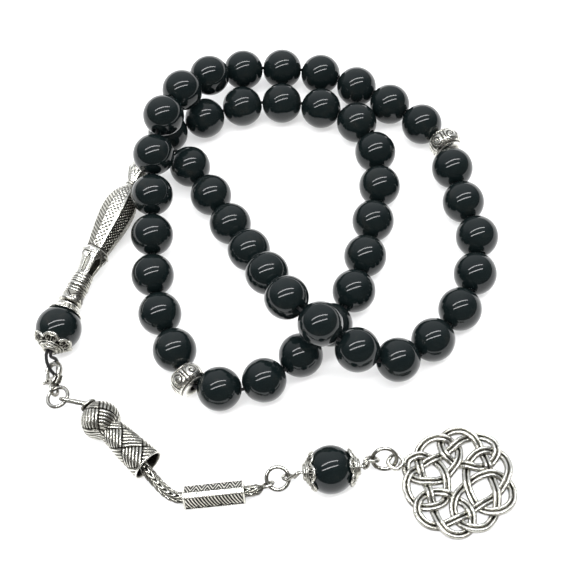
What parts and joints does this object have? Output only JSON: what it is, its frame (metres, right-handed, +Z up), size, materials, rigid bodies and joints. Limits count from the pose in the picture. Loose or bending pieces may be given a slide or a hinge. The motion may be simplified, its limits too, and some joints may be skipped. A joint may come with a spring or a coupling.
{
  "type": "misbaha prayer beads",
  "caption": "Loop of round polished prayer beads parted by metal dividers, gathered into a long ridged imam, with a clasped tassel of bead, woven knot, slider, charm bead and laced pendant.",
  "frame": {"origin": "middle of the laid-out piece, on the surface it lies on", "axes": "+Z up from that surface, +X towards the pendant, +Y towards the far side of the loops"},
  "size_m": [0.1094, 0.1304, 0.0205],
  "materials": {
    "bead": "high polish",
    "thread": "twisted, matt",
    "antique_silver": "cast and blackened in the recesses, polished on the ridges",
    "plated_wire": "plated, bright"
  },
  "bodies": {
    "strand": {"thread": "thread", "imam": "antique_silver", "beads_13_15": "bead", "beads_28_30": "bead", "beads_43_45": "bead"},
    "bead_01": {"bead_01": "bead"},
    "bead_02": {"bead_02": "bead"},
    "bead_03": {"bead_03": "bead"},
    "bead_04": {"bead_04": "bead"},
    "bead_05": {"bead_05": "bead"},
    "bead_06": {"bead_06": "bead"},
    "bead_07": {"bead_07": "bead"},
    "bead_08": {"bead_08": "bead"},
    "bead_09": {"bead_09": "bead"},
    "bead_10": {"bead_10": "bead"},
    "bead_11": {"bead_11": "bead"},
    "bead_12": {"bead_12": "bead"},
    "bead_16": {"bead_16": "bead"},
    "bead_17": {"bead_17": "bead"},
    "bead_18": {"bead_18": "bead"},
    "bead_19": {"bead_19": "bead"},
    "bead_20": {"bead_20": "bead"},
    "bead_21": {"bead_21": "bead"},
    "bead_22": {"bead_22": "bead"},
    "bead_23": {"bead_23": "bead"},
    "bead_24": {"bead_24": "bead"},
    "bead_25": {"bead_25": "bead"},
    "bead_26": {"bead_26": "bead"},
    "bead_27": {"bead_27": "bead"},
    "bead_31": {"bead_31": "bead"},
    "bead_32": {"bead_32": "bead"},
    "bead_33": {"bead_33": "bead"},
    "bead_34": {"bead_34": "bead"},
    "bead_35": {"bead_35": "bead"},
    "bead_36": {"bead_36": "bead"},
    "bead_37": {"bead_37": "bead"},
    "bead_38": {"bead_38": "bead"},
    "bead_39": {"bead_39": "bead"},
    "bead_40": {"bead_40": "bead"},
    "bead_41": {"bead_41": "bead"},
    "bead_42": {"bead_42": "bead"},
    "divider_1": {"divider_1": "antique_silver"},
    "divider_2": {"divider_2": "antique_silver"},
    "tassel_bead": {"tassel_bead": "bead", "tassel_caps": "antique_silver"},
    "clasp": {"clasp_body": "plated_wire", "clasp_pin": "plated_wire", "clasp_spring": "plated_wire"},
    "clasp_gate": {"clasp_gate": "plated_wire"},
    "ring_upper": {"ring_upper": "plated_wire"},
    "knot": {"knot_tube": "antique_silver", "knot_eye": "antique_silver", "chain": "antique_silver"},
    "slider": {"slider": "antique_silver"},
    "ring_middle": {"ring_middle": "plated_wire"},
    "charm": {"charm_pin": "plated_wire"},
    "charm_bead": {"charm_bead": "bead", "charm_caps": "antique_silver"},
    "ring_lower": {"ring_lower": "plated_wire"},
    "pendant": {"pendant": "antique_silver"}
  },
  "joints": [
    {"name": "bead_01_spin", "type": "hinge", "parent": "strand", "child": "bead_01", "pos_m": [-0.0178, 0.03175, 0.005], "axis": [0.4918, -0.8707, -0.0084], "continuous": true},
    {"name": "bead_02_spin", "type": "hinge", "parent": "strand", "child": "bead_02", "pos_m": [-0.01288, 0.02291, 0.005], "axis": [0.4641, -0.8856, 0.0148], "continuous": true},
    {"name": "bead_03_spin", "type": "hinge", "parent": "strand", "child": "bead_03", "pos_m": [-0.00845, 0.01383, 0.00568], "axis": [0.4219, -0.8966, 0.1343], "continuous": true},
    {"name": "bead_04_spin", "type": "hinge", "parent": "strand", "child": "bead_04", "pos_m": [-0.00427, 0.00489, 0.0079], "axis": [0.3976, -0.865, 0.3062], "continuous": true},
    {"name": "bead_05_spin", "type": "hinge", "parent": "strand", "child": "bead_05", "pos_m": [-0.00032, -0.00371, 0.01148], "axis": [0.3507, -0.8464, 0.4009], "continuous": true},
    {"name": "bead_06_spin", "type": "hinge", "parent": "strand", "child": "bead_06", "pos_m": [0.00373, -0.01229, 0.01501], "axis": [0.5227, -0.8121, 0.2594], "continuous": true},
    {"name": "bead_07_spin", "type": "hinge", "parent": "strand", "child": "bead_07", "pos_m": [0.01062, -0.01968, 0.01552], "axis": [0.74, -0.6327, -0.2283], "continuous": true},
    {"name": "bead_08_spin", "type": "hinge", "parent": "strand", "child": "bead_08", "pos_m": [0.01837, -0.0245, 0.01114], "axis": [0.8018, -0.3222, -0.5034], "continuous": true},
    {"name": "bead_09_spin", "type": "hinge", "parent": "strand", "child": "bead_09", "pos_m": [0.02743, -0.02558, 0.00675], "axis": [0.9181, 0.2209, -0.3291], "continuous": true},
    {"name": "bead_10_spin", "type": "hinge", "parent": "strand", "child": "bead_10", "pos_m": [0.036, -0.0205, 0.005], "axis": [0.7631, 0.6445, -0.0485], "continuous": true},
    {"name": "bead_11_spin", "type": "hinge", "parent": "strand", "child": "bead_11", "pos_m": [0.04306, -0.01325, 0.005], "axis": [0.595, 0.8035, 0.0216], "continuous": true},
    {"name": "bead_12_spin", "type": "hinge", "parent": "strand", "child": "bead_12", "pos_m": [0.04784, -0.00433, 0.005], "axis": [0.3412, 0.94, 0], "continuous": true},
    {"name": "bead_16_spin", "type": "hinge", "parent": "strand", "child": "bead_16", "pos_m": [0.04073, 0.03946, 0.005], "axis": [-0.6975, 0.7166, 0], "continuous": true},
    {"name": "bead_17_spin", "type": "hinge", "parent": "strand", "child": "bead_17", "pos_m": [0.0334, 0.04644, 0.005], "axis": [-0.7461, 0.6658, 0], "continuous": true},
    {"name": "bead_18_spin", "type": "hinge", "parent": "strand", "child": "bead_18", "pos_m": [0.02556, 0.05284, 0.005], "axis": [-0.8157, 0.5784, -0.0033], "continuous": true},
    {"name": "bead_19_spin", "type": "hinge", "parent": "strand", "child": "bead_19", "pos_m": [0.0167, 0.05773, 0.005], "axis": [-0.926, 0.3774, -0.0004], "continuous": true},
    {"name": "bead_20_spin", "type": "hinge", "parent": "strand", "child": "bead_20", "pos_m": [0.00688, 0.06017, 0.00526], "axis": [-0.9928, 0.1075, 0.052], "continuous": true},
    {"name": "bead_21_spin", "type": "hinge", "parent": "strand", "child": "bead_21", "pos_m": [-0.00314, 0.05966, 0.0066], "axis": [-0.9402, -0.2204, 0.2598], "continuous": true},
    {"name": "bead_22_spin", "type": "hinge", "parent": "strand", "child": "bead_22", "pos_m": [-0.01171, 0.0557, 0.01022], "axis": [-0.7455, -0.5418, 0.3881], "continuous": true},
    {"name": "bead_23_spin", "type": "hinge", "parent": "strand", "child": "bead_23", "pos_m": [-0.01836, 0.04886, 0.01362], "axis": [-0.5361, -0.7848, 0.3109], "continuous": true},
    {"name": "bead_24_spin", "type": "hinge", "parent": "strand", "child": "bead_24", "pos_m": [-0.0229, 0.04001, 0.01548], "axis": [-0.3708, -0.9256, -0.0764], "continuous": true},
    {"name": "bead_25_spin", "type": "hinge", "parent": "strand", "child": "bead_25", "pos_m": [-0.02579, 0.03078, 0.01251], "axis": [-0.1665, -0.9204, -0.3539], "continuous": true},
    {"name": "bead_26_spin", "type": "hinge", "parent": "strand", "child": "bead_26", "pos_m": [-0.02666, 0.02113, 0.00961], "axis": [-0.0394, -0.9645, -0.2611], "continuous": true},
    {"name": "bead_27_spin", "type": "hinge", "parent": "strand", "child": "bead_27", "pos_m": [-0.02705, 0.01127, 0.00733], "axis": [-0.0423, -0.978, -0.2041], "continuous": true},
    {"name": "bead_31_spin", "type": "hinge", "parent": "strand", "child": "bead_31", "pos_m": [-0.01265, -0.02864, 0.005], "axis": [0.9891, -0.1443, 0.0283], "continuous": true},
    {"name": "bead_32_spin", "type": "hinge", "parent": "strand", "child": "bead_32", "pos_m": [-0.0026, -0.02756, 0.00547], "axis": [0.9316, 0.3624, 0.0275], "continuous": true},
    {"name": "bead_33_spin", "type": "hinge", "parent": "strand", "child": "bead_33", "pos_m": [0.00594, -0.02214, 0.00549], "axis": [0.7663, 0.6425, 0.0036], "continuous": true},
    {"name": "bead_34_spin", "type": "hinge", "parent": "strand", "child": "bead_34", "pos_m": [0.01327, -0.01516, 0.00569], "axis": [0.6702, 0.7412, 0.0393], "continuous": true},
    {"name": "bead_35_spin", "type": "hinge", "parent": "strand", "child": "bead_35", "pos_m": [0.01931, -0.00704, 0.00599], "axis": [0.469, 0.8829, -0.023], "continuous": true},
    {"name": "bead_36_spin", "type": "hinge", "parent": "strand", "child": "bead_36", "pos_m": [0.02286, 0.00241, 0.0053], "axis": [0.2853, 0.9563, -0.0648], "continuous": true},
    {"name": "bead_37_spin", "type": "hinge", "parent": "strand", "child": "bead_37", "pos_m": [0.02569, 0.01212, 0.005], "axis": [0.2888, 0.9573, -0.0098], "continuous": true},
    {"name": "bead_38_spin", "type": "hinge", "parent": "strand", "child": "bead_38", "pos_m": [0.02826, 0.02191, 0.005], "axis": [0.1692, 0.9856, 0.0037], "continuous": true},
    {"name": "bead_39_spin", "type": "hinge", "parent": "strand", "child": "bead_39", "pos_m": [0.02825, 0.03203, 0.005], "axis": [-0.1455, 0.9894, 0], "continuous": true},
    {"name": "bead_40_spin", "type": "hinge", "parent": "strand", "child": "bead_40", "pos_m": [0.02453, 0.04144, 0.005], "axis": [-0.6493, 0.7606, 0], "continuous": true},
    {"name": "bead_41_spin", "type": "hinge", "parent": "strand", "child": "bead_41", "pos_m": [0.01591, 0.04674, 0.005], "axis": [-0.9362, 0.3515, 0], "continuous": true},
    {"name": "bead_42_spin", "type": "hinge", "parent": "strand", "child": "bead_42", "pos_m": [0.00611, 0.04928, 0.005], "axis": [-0.9926, 0.1215, 0], "continuous": true},
    {"name": "divider_1_spin", "type": "hinge", "parent": "strand", "child": "divider_1", "pos_m": [0.04564, 0.03337, 0.005], "axis": [-0.356, 0.9345, 0], "continuous": true},
    {"name": "divider_2_spin", "type": "hinge", "parent": "strand", "child": "divider_2", "pos_m": [-0.01988, -0.02565, 0.005], "axis": [0.6162, -0.7875, -0.0108], "continuous": true},
    {"name": "tassel_bead_spin", "type": "hinge", "parent": "strand", "child": "tassel_bead", "pos_m": [-0.049, -0.01075, 0.00525], "axis": [0.3256, 0.9455, 0], "continuous": true},
    {"name": "clasp_swing", "type": "hinge", "parent": "strand", "child": "clasp", "pos_m": [-0.0504, -0.01825, 0.0021], "axis": [0, 0, 1], "range_deg": [-8, 2]},
    {"name": "clasp_gate_pivot", "type": "hinge", "parent": "clasp", "child": "clasp_gate", "pos_m": [-0.0517, -0.02242, 0.00149], "axis": [-0.422, -0.0221, 0.9063], "range_deg": [-14, 0], "stiffness_Nm_per_rad": 0.0005},
    {"name": "ring_upper_swing", "type": "hinge", "parent": "clasp", "child": "ring_upper", "pos_m": [-0.05028, -0.02454, 0.0021], "axis": [0, 0, 1], "range_deg": [-15, 2]},
    {"name": "knot_swing", "type": "hinge", "parent": "ring_upper", "child": "knot", "pos_m": [-0.0471, -0.02815, 0.0027], "axis": [0, 0, 1], "range_deg": [-15, 2]},
    {"name": "slider_slide", "type": "slide", "parent": "knot", "child": "slider", "axis": [0.9995, 0.0303, 0], "range_m": [-0.0003, 0.0015]},
    {"name": "ring_middle_swing", "type": "hinge", "parent": "knot", "child": "ring_middle", "pos_m": [-0.0032, -0.05035, 0.0015], "axis": [0, 0, 1], "range_deg": [-15, 3]},
    {"name": "charm_swing", "type": "hinge", "parent": "ring_middle", "child": "charm", "pos_m": [0.0013, -0.04945, 0.0023], "axis": [0, 0, 1], "range_deg": [-20, 3]},
    {"name": "charm_bead_spin", "type": "hinge", "parent": "charm", "child": "charm_bead", "pos_m": [0.0104, -0.04935, 0.00525], "axis": [0.9997, 0.0262, 0], "continuous": true},
    {"name": "ring_lower_swing", "type": "hinge", "parent": "charm", "child": "ring_lower", "pos_m": [0.0198, -0.04675, 0.0026], "axis": [0, 0, 1], "range_deg": [-15, 4]},
    {"name": "pendant_swing", "type": "hinge", "parent": "ring_lower", "child": "pendant", "pos_m": [0.0246, -0.04745, 0.00195], "axis": [0, 0, 1], "range_deg": [-25, 4]}
  ]
}
